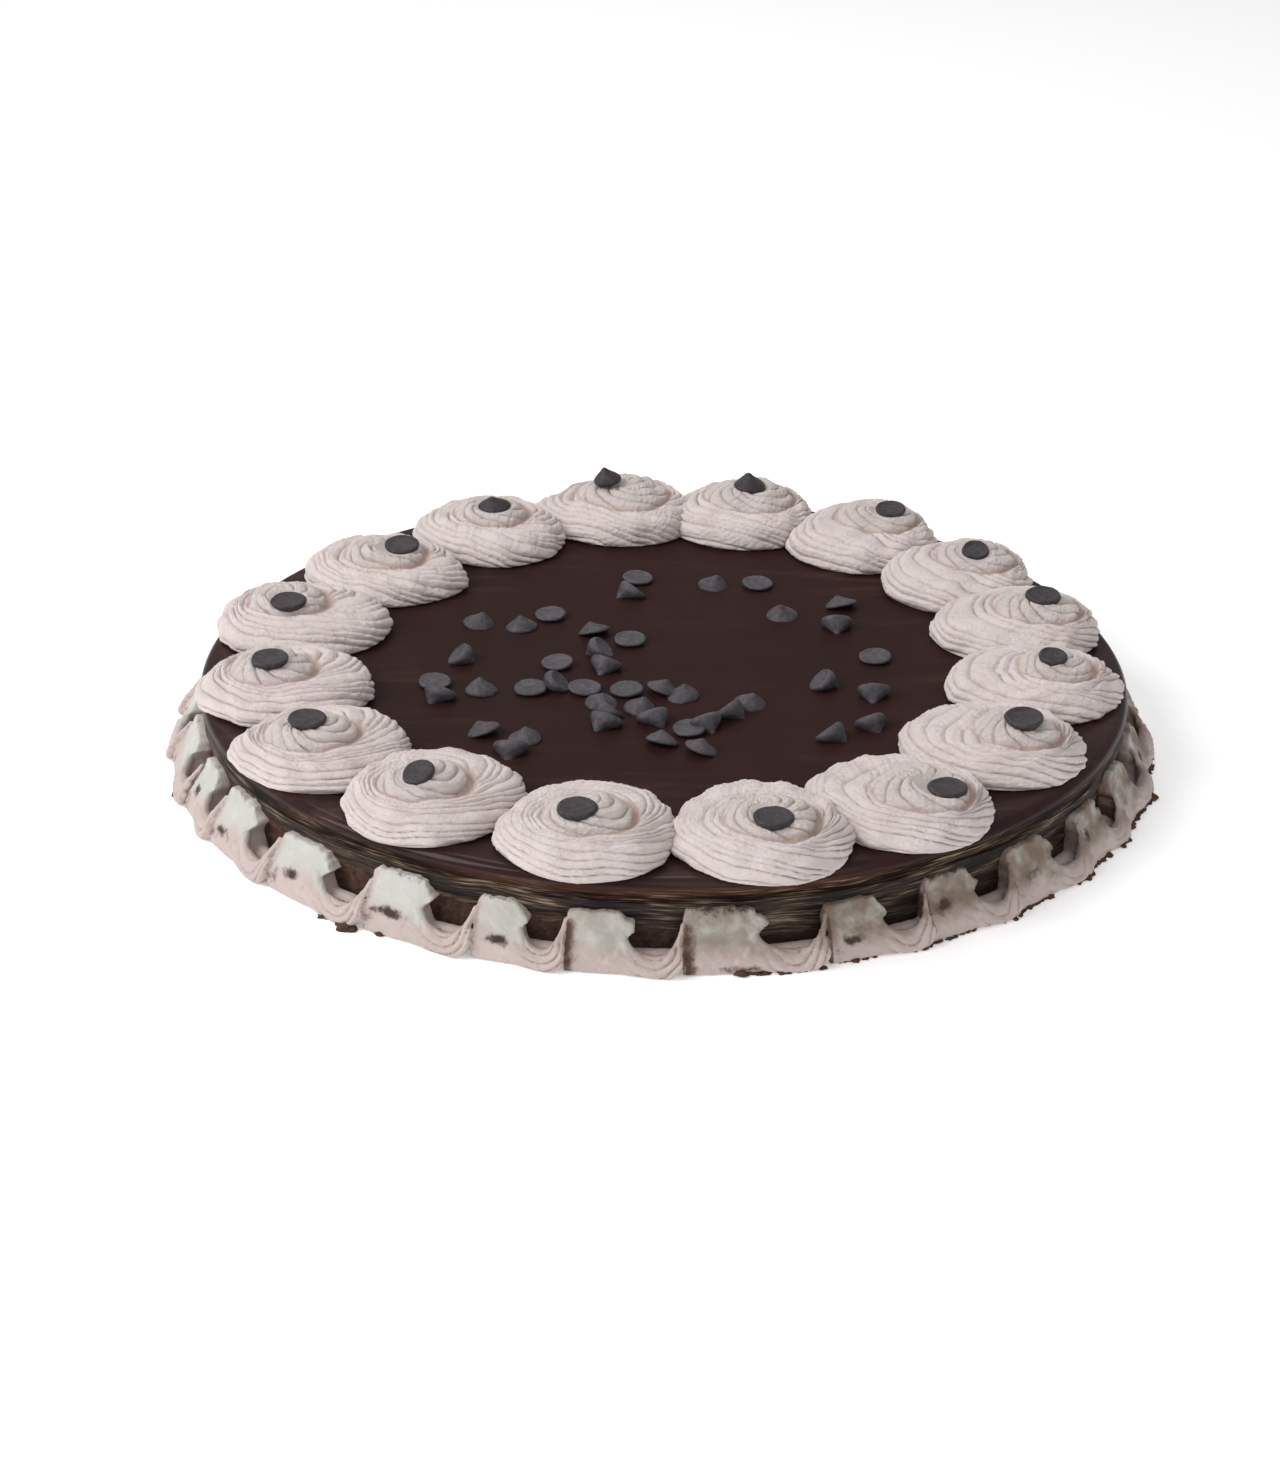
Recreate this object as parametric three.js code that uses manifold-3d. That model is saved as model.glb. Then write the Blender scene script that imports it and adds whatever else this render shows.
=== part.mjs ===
// A low round chocolate cream cake, uncut, in millimetres with +Z up.
// The origin is on the surface the cake stands on, under its middle, and -Y is its front.
// Pieces: the coated cake, a poured chocolate glaze with the scattered chips set in it,
// sixteen piped cream rosettes with a chocolate chip in each, and the piped border round the foot.
import * as THREE from "three";
import { mergeVertices } from "three/addons/utils/BufferGeometryUtils.js";
import Module from "manifold-3d";

const wasm = await Module();
wasm.setup();

// ---- Driving dimensions ----
const CAKE_RADIUS = 125; // to the glazed rim
const CAKE_HEIGHT = 22.5; // to the top of the glaze
const GLAZE_THICK = 2.6;
const GLAZE_RIM = 3; // radius of the glaze's rounded edge
const GLAZE_DROP = 7; // how far the glaze runs down the side
const COAT_INSET = 1.4; // the side stands this far inside the glazed rim
const GAP = 0.3; // clearance between touching pieces
const GOLDEN_ANGLE = 2.4; // radians; its multiples never line up, so it varies what repeats
const ROUND_SIDES = 48; // sides of a full turn on the cake and glaze
const COMB_GROOVES = 3; // combed lines round the side, under the glaze
const COMB_DEPTH = 0.5;

const CHIP_WIDE = 9.6; // a drop-shaped chocolate chip
const CHIP_TALL = 4.4;
const CHIP_SIDES = 8;

const ROSETTE_SIDEWAYS = 22; // half width along the cake's edge, before neighbours press on it
const SHOULDER_TALL = 7.8; // height of the rosette's outer coil
const MOUND_TALL = 11.2; // height of the coil on top of it
const MOUND_FALL = 0.06; // its top falls away from the middle by this times the distance squared
const RIDGES = 10; // ridges left by the star nozzle
const RIDGE_DEPTH = 1.8;
const SWIRL_TURN = 1.9; // radians that a ridge turns from the edge to the middle

const BORDER_OUT = 9.4; // how far the piped loops stand out from the side
const TAB_TALL = 14.4;
const TAB_OUT = 7.6;
const LOOP_TALL = 6;
const TAB_SHARE = 0.6; // share of a unit that the tab takes
const TAB_UNEVEN = 0.9; // the tabs aren't all of one height
// Where each tab of the front starts, in degrees from +X. The others are spread evenly round the back.
const FRONT_TABS = [-159, -150, -137.5, -123, -110, -100, -87.5, -72, -60, -48, -35, -25];
const BACK_TABS = 18;

// Each rosette: angle round the cake and distance out, its width from the middle outwards, how far
// towards the rim its top coil sits, and where its chip sits on that coil (out, along the edge),
// its lean outwards in degrees and whether its flat face is up.
const ROSETTES = [
  { angle: 97.5, out: 103, wide: 42, top: 4, chip: { out: -1, along: 4, lean: 5, faceUp: false } },
  { angle: 77, out: 103, wide: 41.5, top: 4, chip: { out: 0, along: 0, lean: -6, faceUp: false } },
  { angle: 55, out: 103, wide: 45, top: 5, chip: { out: 1, along: -6, lean: 35, faceUp: true } },
  { angle: 33, out: 100.5, wide: 44.5, top: 5, chip: { out: 0, along: -3, lean: 12, faceUp: true } },
  { angle: 11.5, out: 99.5, wide: 47.5, top: 5, chip: { out: 2, along: -1, lean: 10, faceUp: true } },
  { angle: -10.5, out: 99.5, wide: 47, top: 5, chip: { out: 0, along: -2, lean: 30, faceUp: true } },
  { angle: -33.5, out: 101.5, wide: 47, top: 5, chip: { out: 3, along: -1, lean: 14, faceUp: true } },
  { angle: -56.5, out: 107.5, wide: 45, top: 5, chip: { out: 5, along: 4, lean: 14, faceUp: true } },
  { angle: -77, out: 109, wide: 45, top: 4, chip: { out: 4, along: 1, lean: 20, faceUp: true } },
  { angle: -99.5, out: 108, wide: 43.5, top: 4, chip: { out: 3, along: 0, lean: 20, faceUp: true } },
  { angle: -122.5, out: 106.5, wide: 44.5, top: 4, chip: { out: 1, along: 1, lean: 38, faceUp: true } },
  { angle: -143.5, out: 104.5, wide: 46, top: 5, chip: { out: 0, along: 0, lean: 20, faceUp: true } },
  { angle: -165.5, out: 102, wide: 45.5, top: 5, chip: { out: 0, along: 2, lean: 12, faceUp: true } },
  { angle: 170, out: 102, wide: 48, top: 5, chip: { out: -1, along: 5, lean: 6, faceUp: true } },
  { angle: 146, out: 98.5, wide: 46, top: 0, chip: { out: -3, along: -3, lean: 6, faceUp: true } },
  { angle: 121, out: 101, wide: 46, top: 2, chip: { out: -2, along: -1, lean: 4, faceUp: true } },
];

// The scattered chips lie singly or in short rows. Each row starts at a place on the glaze and
// runs towards a heading in degrees, one chip a step. A chip stands with its point "up", lies with
// its flat face up, or has its point towards an hour of the clock, 12 at the back: it lies on its
// side where that is 3 to 9, and only leans that way where it is further back.
const CHIP_ROWS = [
  { at: [-53, 21], lies: ["up"] },
  { at: [-40, 20], towards: 42, step: 10, lies: ["up", "flat"] },
  { at: [-20, 17], towards: -33, step: 11.5, lies: [10, "flat"] },
  { at: [-18, 4], towards: -80, step: 10, lies: [8, 7] },
  { at: [-29, -6], lies: ["flat"] },
  { at: [-55, -2], lies: [8] },
  { at: [-61, -18], towards: -76, step: 8.5, lies: ["flat", 7] },
  { at: [-48, -23], lies: ["up"] },
  { at: [-36, -24], towards: 30, step: 8, lies: ["flat", 10] },
  { at: [-21, -22], lies: ["flat"] },
  { at: [-10, -23], towards: 4, step: 9.5, lies: ["flat", 6] },
  { at: [5.5, -26], lies: ["up"] },
  { at: [-17, -29], towards: -72, step: 7.5, lies: ["up", 8] },
  { at: [-14, -42.5], lies: [7] },
  { at: [-6, -33], towards: -60, step: 8.5, lies: ["up", 5] },
  { at: [7, -46.5], towards: -134, step: 10, lies: ["flat", 1] },
  { at: [10, -58], lies: [6] },
  { at: [23, -29], towards: -130, step: 9, lies: ["up", 4, 5] },
  { at: [-46, -49], lies: [10] },
  { at: [-35, -53], towards: -112, step: 8.5, lies: ["up", 6] },
  { at: [-7, 55], towards: -107, step: 10, lies: ["flat", 8] },
  { at: [14, 51], step: 13, lies: ["up", "flat"] },
  { at: [33, 29], lies: ["up"] },
  { at: [50, 37], towards: -97, step: 15, lies: [11, 6] },
  { at: [58, 0], lies: ["flat"] },
  { at: [44, -17], towards: -24, step: 13.5, lies: [3, 6] },
  { at: [54, -42], towards: -147, step: 13, lies: [5, 4] },
];

// ---- Materials ----
const material = (color, roughness) =>
  new THREE.MeshStandardMaterial({ color, roughness, metalness: 0 });
const COAT = material(0x3a2820, 0.55);
const GLAZE = material(0x2e2120, 0.3);
const CREAM = material(0xe6d6cc, 0.7);
const CHIP = material(0x3d393b, 0.55);

// ---- Geometry helpers ----
const radians = THREE.MathUtils.degToRad;
const mix = (a, b, t) => a + (b - a) * t;
const smooth = THREE.MathUtils.smoothstep;

// Points of an arc about (x, z), for a profile.
function arc(x, z, radius, from, to, steps) {
  return Array.from({ length: steps + 1 }, (_, i) => {
    const a = radians(mix(from, to, i / steps));
    return new THREE.Vector2(x + radius * Math.cos(a), z + radius * Math.sin(a));
  });
}

// A closed surface from rings of points, all with the same count, from the lowest ring to the top.
function stackedRings(rings, bottom, top) {
  const count = rings[0].length;
  const points = [bottom, ...rings.flat(), top];
  const at = (ring, i) => 1 + ring * count + (i % count);
  const index = [];
  for (let i = 0; i < count; i++) {
    index.push(0, at(0, i + 1), at(0, i));
    for (let ring = 0; ring + 1 < rings.length; ring++) {
      index.push(at(ring, i), at(ring, i + 1), at(ring + 1, i + 1));
      index.push(at(ring, i), at(ring + 1, i + 1), at(ring + 1, i));
    }
    index.push(points.length - 1, at(rings.length - 1, i), at(rings.length - 1, i + 1));
  }
  const geometry = new THREE.BufferGeometry().setFromPoints(points);
  geometry.setIndex(index);
  return geometry;
}

// A profile of (distance out, height) points, from the axis to the axis, turned about +Z.
function turned(profile) {
  const geometry = new THREE.LatheGeometry(profile, ROUND_SIDES);
  return geometry.rotateX(Math.PI / 2);
}

function toSolid(geometry, matrix = new THREE.Matrix4()) {
  const bare = new THREE.BufferGeometry();
  bare.setAttribute("position", geometry.getAttribute("position").clone());
  bare.setIndex(geometry.index);
  const merged = mergeVertices(bare.applyMatrix4(matrix), 1e-4);
  return new wasm.Manifold(
    new wasm.Mesh({
      numProp: 3,
      vertProperties: merged.getAttribute("position").array,
      triVerts: new Uint32Array(merged.index.array),
    }),
  );
}

function toGeometry(solid) {
  const mesh = solid.getMesh();
  const geometry = new THREE.BufferGeometry();
  geometry.setAttribute("position", new THREE.BufferAttribute(mesh.vertProperties, 3));
  geometry.setIndex(new THREE.BufferAttribute(mesh.triVerts, 1));
  return geometry;
}

function named(name, geometry, material) {
  const mesh = new THREE.Mesh(geometry, material);
  mesh.name = name;
  return mesh;
}

// ---- The coated cake: a low drum with a rounded top edge and combed lines round its side ----
const SIDE_RADIUS = CAKE_RADIUS - COAT_INSET;
const COAT_TOP = CAKE_HEIGHT - GLAZE_THICK - GAP;
const COAT_EDGE = GLAZE_RIM - 1; // radius of the coat's own rounded edge
const COMB_TOP = CAKE_HEIGHT - GLAZE_DROP - 1;
const COMB_PITCH = 2.4;

function coatedCake() {
  const profile = [new THREE.Vector2(0, 0), new THREE.Vector2(SIDE_RADIUS, 0)];
  for (let groove = COMB_GROOVES; groove > 0; groove--) {
    const z = COMB_TOP - groove * COMB_PITCH;
    profile.push(new THREE.Vector2(SIDE_RADIUS, z));
    profile.push(new THREE.Vector2(SIDE_RADIUS - COMB_DEPTH, z + COMB_PITCH / 2));
  }
  profile.push(...arc(SIDE_RADIUS - COAT_EDGE, COAT_TOP - COAT_EDGE, COAT_EDGE, 0, 90, 2));
  profile.push(new THREE.Vector2(0, COAT_TOP));
  return turned(profile);
}

// ---- The glaze: a poured layer that rolls over the edge and ends in a soft lip ----
function glazeLayer() {
  const inner = COAT_EDGE + GAP;
  const lip = CAKE_HEIGHT - GLAZE_DROP;
  const profile = [
    new THREE.Vector2(0, COAT_TOP + GAP),
    ...arc(SIDE_RADIUS - COAT_EDGE, COAT_TOP - COAT_EDGE, inner, 90, 0, 3),
    new THREE.Vector2(SIDE_RADIUS + GAP, lip),
    new THREE.Vector2(CAKE_RADIUS - 0.3, lip + 0.4),
    ...arc(CAKE_RADIUS - GLAZE_RIM, CAKE_HEIGHT - GLAZE_RIM, GLAZE_RIM, 0, 90, 3),
    new THREE.Vector2(0, CAKE_HEIGHT),
  ];
  return turned(profile);
}

// ---- A chocolate chip: a drop with a flat face down and its point up ----
function chipGeometry(sides = CHIP_SIDES, grow = 0) {
  const rounds = [
    [0.94, 0],
    [1, 0.2],
    [0.4, 0.76],
  ];
  const radius = CHIP_WIDE / 2 + grow;
  const tall = CHIP_TALL + 2 * grow;
  const rings = rounds.map(([wide, high]) =>
    Array.from({ length: sides }, (_, i) => {
      const a = (2 * Math.PI * i) / sides;
      const r = wide * radius;
      return new THREE.Vector3(r * Math.cos(a), r * Math.sin(a), high * tall - grow);
    }),
  );
  return stackedRings(rings, new THREE.Vector3(0, 0, -grow), new THREE.Vector3(0, 0, tall - grow));
}

// The turn of a chip that lies on the glaze, and the height of the middle of its flat face.
const CHIP_SLOPE = Math.atan2(CHIP_TALL, CHIP_WIDE / 2);
const CHIP_SUNK = 0.6; // every chip is set this far into the glaze
const LEAN = 0.12; // radians that a standing or face-up chip leans, each another way
const BACK_LEAN = 0.4; // radians that a chip with its point towards the back leans

function chipLie(lie, nth) {
  const aside = (GOLDEN_ANGLE * nth) % (2 * Math.PI);
  if (lie === "up") return { tip: LEAN, heading: aside, rise: -CHIP_SUNK };
  if (lie === "flat") return { tip: Math.PI - LEAN, heading: aside, rise: CHIP_TALL - 2 * CHIP_SUNK };
  const leans = lie < 3 || lie > 9;
  const rise = (CHIP_WIDE / 2) * Math.sin(leans ? BACK_LEAN / 2 : CHIP_SLOPE) - CHIP_SUNK;
  return { tip: leans ? BACK_LEAN : Math.PI - CHIP_SLOPE, heading: radians(90 - 30 * lie), rise };
}

// The place and turn of every scattered chip.
function scatteredChips() {
  const places = [];
  for (const { at, towards = 0, step = 0, lies } of CHIP_ROWS) {
    for (const [i, lie] of lies.entries()) {
      const { tip, heading, rise } = chipLie(lie, places.length);
      const x = at[0] + i * step * Math.cos(radians(towards));
      const y = at[1] + i * step * Math.sin(radians(towards));
      const turn = new THREE.Euler(0, tip, heading, "ZYX");
      places.push(
        new THREE.Matrix4()
          .makeTranslation(x, y, CAKE_HEIGHT + rise)
          .multiply(new THREE.Matrix4().makeRotationFromEuler(turn)),
      );
    }
  }
  return places;
}

function glazeWithChips() {
  const chip = chipGeometry(CHIP_SIDES - 1);
  let solid = toSolid(glazeLayer());
  for (const place of scatteredChips()) solid = solid.add(toSolid(chip, place));
  return toGeometry(solid);
}

// ---- A piped rosette ----
// Its outline is an oval, flattened where the neighbours press on it. Its surface is built of
// oval rounds from the foot to the peak, and each round is turned a little further than the one
// below, so that the nozzle's ridges run round it as a swirl. +X points out from the cake's middle.
const ROSETTE_ROUNDS = [
  { wide: 0.95, high: 0, ridge: 0.5 },
  { wide: 1, high: 0.3 * SHOULDER_TALL, ridge: 1 },
  { wide: 0.91, high: 0.78 * SHOULDER_TALL, ridge: 1 },
  { wide: 0.7, high: SHOULDER_TALL, ridge: 0.8 },
  { wide: 0.48, high: SHOULDER_TALL + 0.4, ridge: 0.7 },
  { wide: 0.32, high: MOUND_TALL - 1.4, ridge: 0.6 },
  { wide: 0.13, high: MOUND_TALL - 0.2, ridge: 0.3 },
];

// How far the rosette may reach in a direction before it meets the plane between it and a neighbour.
function roomTowards(direction, out, halfStep) {
  const closing = Math.sin(direction - halfStep);
  return closing > 0.01 ? (out * Math.sin(halfStep) - GAP) / closing : Infinity;
}

function rosetteGeometry({ out, wide, top }, stepBefore, stepAfter) {
  const count = 2 * RIDGES;
  const rings = ROSETTE_ROUNDS.map(({ wide: share, high, ridge }) => {
    const shift = top * (1 - smooth(share, 0.4, 0.95));
    const relief = 0.5 * ridge * RIDGE_DEPTH;
    const lift = relief * Math.min(1, high / SHOULDER_TALL);
    return Array.from({ length: count }, (_, i) => {
      const crest = i % 2 ? -1 : 1;
      const a = (2 * Math.PI * i) / count - SWIRL_TURN * (1 - share);
      const along = share * ROSETTE_SIDEWAYS;
      const outward = (share * wide) / 2;
      const oval = (along * outward) / Math.hypot(along * Math.cos(a), outward * Math.sin(a));
      const r = Math.min(
        oval + relief * crest,
        roomTowards(a, out, stepAfter / 2),
        roomTowards(-a, out, stepBefore / 2),
      );
      return new THREE.Vector3(shift + r * Math.cos(a), r * Math.sin(a), high + lift * crest);
    });
  });
  const foot = new THREE.Vector3(0, 0, 0);
  return stackedRings(rings, foot, new THREE.Vector3(top, 0, MOUND_TALL));
}

// Where a rosette's chip sits, in the rosette's own frame.
function chipPlace({ out, along, lean, faceUp }, top) {
  const away = Math.hypot(out, along);
  const surface = MOUND_TALL - MOUND_FALL * away ** 2;
  const turn = radians(lean + (faceUp ? 180 : 0));
  const rise = faceUp ? 0.8 : -1.2; // of the middle of its flat face above the cream
  return new THREE.Matrix4()
    .makeTranslation(top + out, along, surface + rise)
    .multiply(new THREE.Matrix4().makeRotationY(turn));
}

function rosetteWithChip(i) {
  const spec = ROSETTES[i];
  const turnTo = (other) => {
    const step = Math.abs(spec.angle - ROSETTES[(other + ROSETTES.length) % ROSETTES.length].angle);
    return radians(Math.min(step, 360 - step));
  };
  const group = new THREE.Group();
  const angle = radians(spec.angle);
  group.position.set(spec.out * Math.cos(angle), spec.out * Math.sin(angle), CAKE_HEIGHT + GAP);
  group.rotation.z = angle;

  const place = chipPlace(spec.chip, spec.top);
  const pocket = toSolid(chipGeometry(CHIP_SIDES, GAP), place);
  const cream = toSolid(rosetteGeometry(spec, turnTo(i + 1), turnTo(i - 1))).subtract(pocket);
  const number = String(i + 1).padStart(2, "0");
  group.add(named(`rosette_${number}`, toGeometry(cream), CREAM));

  const chip = named(`chip_${number}`, chipGeometry(), CHIP);
  chip.applyMatrix4(place);
  group.add(chip);
  return group;
}

// ---- The piped border round the foot ----
// The cream was piped up and down against the side and pressed flat above: each unit is a tab
// with a flat face, and a loop of cream that sags from it to the next tab. A section is a list of
// (distance out from the side, height), from the foot of the side round to the top.
const TAB_SECTION = [
  [0, 0],
  [TAB_OUT - 1, 0],
  [TAB_OUT, 2.4],
  [TAB_OUT - 2.6, 0.55 * TAB_TALL],
  [2.4, TAB_TALL - 0.6],
  [0, TAB_TALL],
];
const LOOP_SECTION = [
  [0, 0],
  [BORDER_OUT - 1.2, 0],
  [BORDER_OUT, 2],
  [BORDER_OUT - 1.4, 0.7 * LOOP_TALL],
  [BORDER_OUT - 4.4, LOOP_TALL],
  [0, LOOP_TALL - 1],
];
const TAB_BEVEL = 0.06;
const UNIT_COLUMNS = [0, TAB_BEVEL, TAB_SHARE - TAB_BEVEL, TAB_SHARE, 0.72, 0.9];

// How far the border is towards a loop (1) or a tab (0) at a place in its unit.
function loopShare(place) {
  const leaving = smooth(place, TAB_SHARE - 0.05, TAB_SHARE + 0.12);
  const rising = smooth(place, 0.86, 1);
  return leaving * (1 - rising);
}

// The angle in degrees at which each tab starts, and once more that of the first.
function tabStarts() {
  const [first, last] = [FRONT_TABS[0], FRONT_TABS.at(-1)];
  const steps = BACK_TABS + 1;
  const back = Array.from({ length: steps }, (_, i) => mix(last, first + 360, (i + 1) / steps));
  return [...FRONT_TABS, ...back];
}

function borderGeometry() {
  const inner = SIDE_RADIUS + GAP;
  const round = TAB_SECTION.length;
  const starts = tabStarts();
  const points = [];
  for (let unit = 0; unit + 1 < starts.length; unit++) {
    const taller = 1 + (TAB_UNEVEN / TAB_TALL) * Math.sin(GOLDEN_ANGLE * unit);
    for (const column of UNIT_COLUMNS) {
      const a = radians(mix(starts[unit], starts[unit + 1], column));
      const share = loopShare(column);
      TAB_SECTION.forEach(([tabOut, tabHigh], k) => {
        const [loopOut, loopHigh] = LOOP_SECTION[k];
        const r = inner + mix(tabOut, loopOut, share);
        const high = mix(tabHigh * (tabHigh > LOOP_TALL ? taller : 1), loopHigh, share);
        points.push(new THREE.Vector3(r * Math.cos(a), r * Math.sin(a), high));
      });
    }
  }
  const columns = points.length / round;
  const at = (column, k) => (column % columns) * round + (k % round);
  const index = [];
  for (let column = 0; column < columns; column++) {
    for (let k = 0; k < round; k++) {
      index.push(at(column, k), at(column + 1, k), at(column + 1, k + 1));
      index.push(at(column, k), at(column + 1, k + 1), at(column, k + 1));
    }
  }
  const geometry = new THREE.BufferGeometry().setFromPoints(points);
  geometry.setIndex(index);
  return geometry;
}

// ---- Assembly ----
const cake = new THREE.Group();
cake.add(named("cake", coatedCake(), COAT));
cake.add(named("glaze", glazeWithChips(), GLAZE));
cake.add(named("border", borderGeometry(), CREAM));
for (let i = 0; i < ROSETTES.length; i++) cake.add(rosetteWithChip(i));

export default cake;
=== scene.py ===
"""The looks of a low round chocolate cream cake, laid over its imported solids.

Lengths are millimetres in the tables and in what draws shapes, and metres in Blender, so MM turns
one into the other. The cake's front is -Y. Angles in the tables are degrees round the cake from +X.
"""
import math

import bpy
import numpy as np
from mathutils import Matrix, Vector, noise


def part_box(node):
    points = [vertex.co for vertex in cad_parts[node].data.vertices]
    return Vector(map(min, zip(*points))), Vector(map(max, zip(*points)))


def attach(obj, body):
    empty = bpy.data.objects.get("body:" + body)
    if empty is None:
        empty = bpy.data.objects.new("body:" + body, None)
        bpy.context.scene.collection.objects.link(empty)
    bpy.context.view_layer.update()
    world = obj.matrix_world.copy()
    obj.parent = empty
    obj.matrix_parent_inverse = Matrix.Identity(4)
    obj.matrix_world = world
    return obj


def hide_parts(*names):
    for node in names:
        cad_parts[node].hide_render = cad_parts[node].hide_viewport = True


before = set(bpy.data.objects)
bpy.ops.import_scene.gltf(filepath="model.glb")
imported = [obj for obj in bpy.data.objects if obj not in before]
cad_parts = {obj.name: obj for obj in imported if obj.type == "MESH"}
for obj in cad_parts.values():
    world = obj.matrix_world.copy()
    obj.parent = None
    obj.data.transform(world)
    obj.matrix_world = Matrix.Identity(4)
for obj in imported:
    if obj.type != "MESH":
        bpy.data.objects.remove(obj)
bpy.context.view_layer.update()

MM = 0.001
TURN = 2 * math.pi
GOLDEN_ANGLE = 2.4  # radians; its multiples never line up, so it varies what repeats

# ---- Sizes, as in the solids ----
CAKE_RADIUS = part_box("glaze")[1][0] / MM
SIDE_RADIUS = CAKE_RADIUS - 1.4
CAKE_HEIGHT = 22.5
GLAZE_THICK = 2.6
GLAZE_RIM = 2.6  # the radius of its edge
GLAZE_DROP = 7  # how far it comes down the side

CHIP_WIDE = 9.6
CHIP_TALL = 4.4
CHIP_SUNK = 0.6
CHIP_LEAN = 0.12  # in radians, as is the next
CHIP_BACK_LEAN = 0.4

ROSETTE_SIDEWAYS = 22  # half width along the cake's edge
MOUND_TALL = 11.2
MOUND_FALL = 0.06  # over the square of the way from its middle
TAB_TALL = 14.4
# Where each tab of the front starts, in degrees from +X. The others are spread evenly round the back.
FRONT_TABS = [-159, -150, -137.5, -123, -110, -100, -87.5, -72, -60, -48, -35, -25]
BACK_TABS = 18

# For each rosette, its angle and its distance out, its width outwards, how far towards the rim its top
# coil sits, how wide that is, the side that its piping starts on, in degrees as seen from above, the
# folds of the top coil, its bulge, a side and how far, and its chip: out, along, a lean in degrees and
# the side that it leans to. Some chips also have their tip up, a size and a height against the others',
# or are raised, and some rosettes have a strand pitch of their own.
ROSETTE_WORDS = ("angle", "out", "wide", "top", "mound", "start", "folds", "bulge", "chip")


def swirl(*values, **more):
    return dict(zip(ROSETTE_WORDS, values), **more)


ROSETTES = [
    swirl(97.5, 103, 42, 4, 0.64, -50, 8, (185, 9), (-1, 4, 8, 180), tip_up=True, size=0.86, raised=1.2),
    swirl(77, 103, 41.5, 4, 0.62, -35, 8, (190, 1.6), (0.2, -1.1, 4, 0), tip_up=True, raised=-1),
    swirl(55, 103, 45, 5, 0.55, -40, 6, (190, 1.3), (1, -5, 10, -100), size=0.92, raised=0.8),
    swirl(33, 100.5, 44.5, 5, 0.52, -40, 7, (180, 0.6), (-0.9, -2.4, 20, -90), size=0.8, raised=-0.6),
    swirl(11.5, 99.5, 47.5, 5, 0.54, -30, 10, (180, 1), (2, -1, 7, -90)),
    swirl(-10.5, 99.5, 47, 5, 0.45, -25, 6, (0, 1), (0, -2, 8, -70), size=0.8),
    swirl(-33.5, 101, 48, 5, 0.5, -30, 9, (180, 1.2), (3, -1, 7, -90), raised=1.1),
    swirl(-56.5, 106.2, 47.5, 5, 0.56, -32, 9, (175, 2.8), (5.8, 4.7, 2, -90), raised=0.9, pitch=2.3),
    swirl(-77, 107.5, 48, 4, 0.52, -35, 8, (195, 2.6), (5, -0.1, 2, -90), pitch=2.2),
    swirl(-99.5, 106.3, 47, 4, 0.5, -12, 5, (190, 2), (2.9, -1.4, 2, -90), pitch=2.1),
    swirl(-122.5, 105, 47.5, 4, 0.5, -5, 6, (10, 1.4), (2.3, 1, 22, -130), size=0.82, pitch=2.3),
    swirl(-143.5, 105.6, 43, 5, 0.52, 10, 8, (185, 3.6), (0, 0, 3, -90), pitch=2.4),
    swirl(-165.5, 102, 45.5, 5, 0.5, 0, 9, (185, 2), (0, 2, 4, -90)),
    swirl(170, 102, 48, 5, 0.5, -8, 4, (0, 1.2), (-2.8, 4.7, 4, -90)),
    swirl(146, 98.5, 46, 0, 0.54, -35, 8, (-15, 2.8), (-4.2, -3.8, 10, -90)),
    swirl(121, 101, 46, 2, 0.5, -42, 8, (180, 2.2), (-2, -1, 3, -90), tip_up=True, tall=0.72, raised=-1.4),
]

# The scattered chips, singly or in short rows: a place, the row's heading in degrees, its step, and
# how each lies: point "up", "flat" face up, or with its point to an hour of the clock, 12 at the back.
CHIP_ROWS = [
    ((-52, 24), 0, 0, ["up"]),
    ((-40, 22), 42, 10.5, ["up", "flat"]),
    ((-19.6, 18), -30, 11.5, [11, "flat"]),
    ((-17.5, 4.5), -80, 10, [9, 7]),
    ((-29, -4), 0, 0, ["flat"]),
    ((-55.4, -1.4), 0, 0, [3]),
    ((-61, -17.4), -76, 8.5, ["flat", 7]),
    ((-48.5, -20.7), 0, 0, ["up"]),
    ((-35.5, -20.7), 20, 7.5, ["flat", 9]),
    ((-21, -20.2), 0, 0, ["flat"]),
    ((-10, -20.8), 4, 9.5, ["flat", 2]),
    ((5, -22.8), 0, 0, ["up"]),
    ((-16.5, -28), -72, 7, ["up", 8]),
    ((-14.8, -41), 0, 0, [7]),
    ((-6.4, -31), -64, 8, ["up", 5]),
    ((6.5, -44.5), -134, 10, ["flat", 1]),
    ((9.5, -56), 0, 0, [2]),
    ((22.5, -27), -130, 9, ["up", 4, 5]),
    ((-46, -46.7), 0, 0, [10]),
    ((-35.5, -50), -112, 8.5, ["up", 6]),
    ((-7.9, 56.7), -98, 11, ["flat", 8]),
    ((13.7, 53.5), 0, 13, ["up", "flat"]),
    ((33, 32.3), 0, 0, ["up"]),
    ((50, 39), -98, 14.5, [11, 6]),
    ((57.4, 2.6), 0, 0, ["flat"]),
    ((42.2, -15.3), -22, 14.6, [3, 6]),
    ((53.6, -40), -147, 13, [5, 4]),
]


# ---- Small helpers ----
def mix(a, b, t):
    return a + (b - a) * t


def smooth(x, low, high):
    t = min(1, max(0, (x - low) / (high - low)))
    return t * t * (3 - 2 * t)


def smooth_all(x, low, high):
    t = np.clip((x - low) / (high - low), 0, 1)
    return t * t * (3 - 2 * t)


def ripples(x, y, size, seed):
    """Six waves over arrays of places, out of step: between about -1 and 1, with lumps of a size."""
    total = 0
    for k in range(6):
        turn = GOLDEN_ANGLE * (k + 3.7 * seed)
        fine = (1 + 0.23 * k) * TURN / (2.2 * size)
        total = total + np.sin(fine * (x * math.cos(turn) + y * math.sin(turn)) + 1.9 * k + seed)
    return total / 3


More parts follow.
